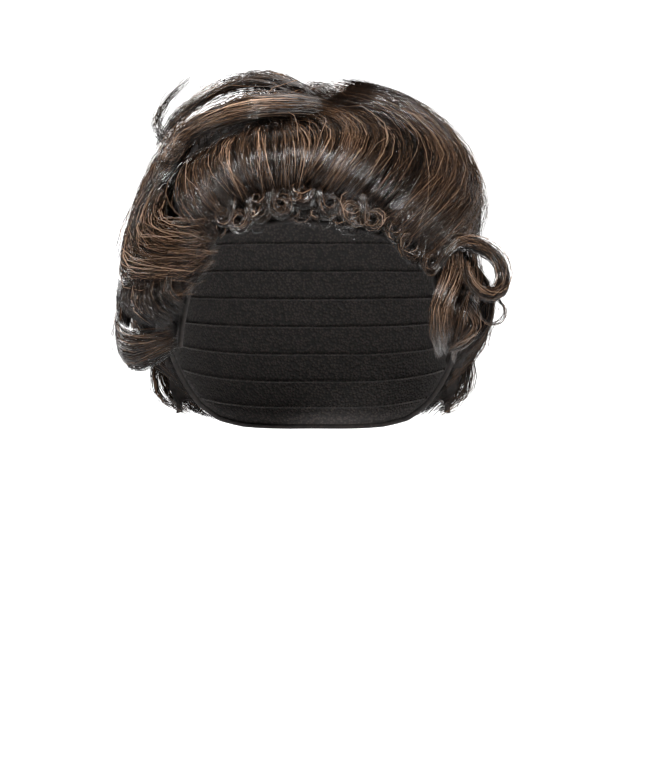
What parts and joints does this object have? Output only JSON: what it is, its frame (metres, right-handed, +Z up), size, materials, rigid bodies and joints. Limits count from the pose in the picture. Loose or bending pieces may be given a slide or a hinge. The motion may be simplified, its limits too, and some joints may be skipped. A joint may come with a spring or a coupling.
{
  "type": "curled wig",
  "caption": "Short curled costume wig in dark brown: stretch cap, swept waves over the brow, pin curls along the hairline, rolls at the temples and curled nape.",
  "frame": {"origin": "point inside the crown of the cap that rests on the top of the wearer's head", "axes": "+Z up, -Y the way the wearer's face looks, +X towards the wearer's left"},
  "size_m": [0.1921, 0.2186, 0.1865],
  "materials": {
    "cap": "dark knitted stretch net with sewn rows of hair",
    "hair": "dark brown synthetic fibre hair with a soft sheen"
  },
  "bodies": {
    "root": {"wig_cap": "cap", "front_pin_curls": "hair", "crown_waves": "hair", "swept_lock": "hair", "raised_wisps": "hair", "left_temple_curls": "hair", "left_lower_roll": "hair", "right_side_waves": "hair", "right_ring_curl": "hair", "right_lower_curl": "hair", "back_waves": "hair", "back_curls": "hair", "nape_locks": "hair"}
  },
  "joints": []
}
